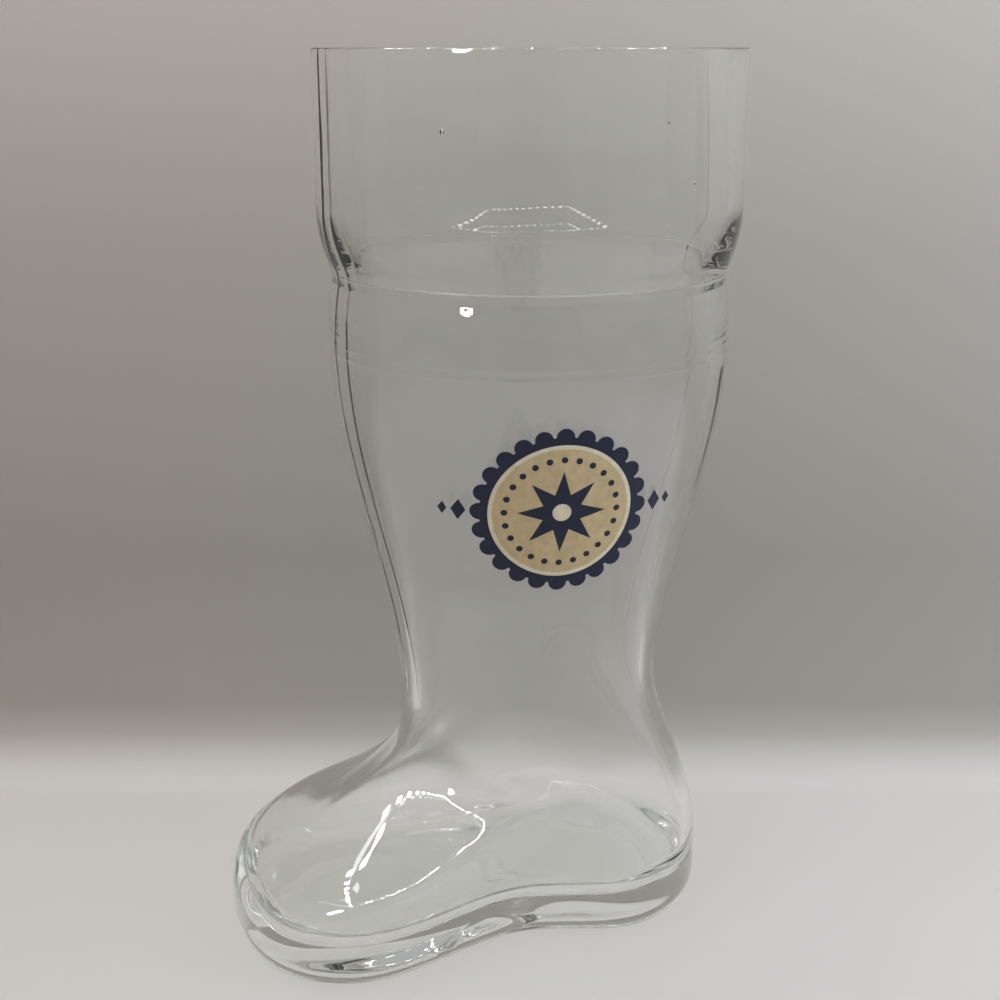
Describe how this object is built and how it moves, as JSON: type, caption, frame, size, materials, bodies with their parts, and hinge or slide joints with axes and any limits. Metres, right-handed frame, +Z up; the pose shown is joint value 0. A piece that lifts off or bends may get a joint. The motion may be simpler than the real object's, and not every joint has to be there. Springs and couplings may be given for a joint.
{
  "type": "glass beer boot",
  "caption": "Clear drinking glass in the form of a boot, with a wide rounded cuff, a tapering shaft, a hollow foot on a thick sole and a small enamelled emblem.",
  "frame": {"origin": "on the axis of the round shaft at the level of the table, under the flat of the heel", "axes": "+Z up along the shaft, -X towards the toe, -Y towards the side with the emblem"},
  "size_m": [0.1403, 0.109, 0.236],
  "materials": {
    "glass": "clear fire-polished pressed and blown soda-lime glass",
    "enamel_navy": "fired enamel, satin gloss",
    "enamel_cream": "fired enamel, satin gloss",
    "enamel_tan": "fired enamel, satin gloss"
  },
  "bodies": {
    "root": {"glass_boot": "glass", "emblem_rim": "enamel_navy", "emblem_line": "enamel_cream", "emblem_field": "enamel_tan", "emblem_beads": "enamel_navy", "emblem_star": "enamel_navy", "emblem_core": "enamel_cream", "emblem_lozenges": "enamel_navy"}
  },
  "joints": []
}
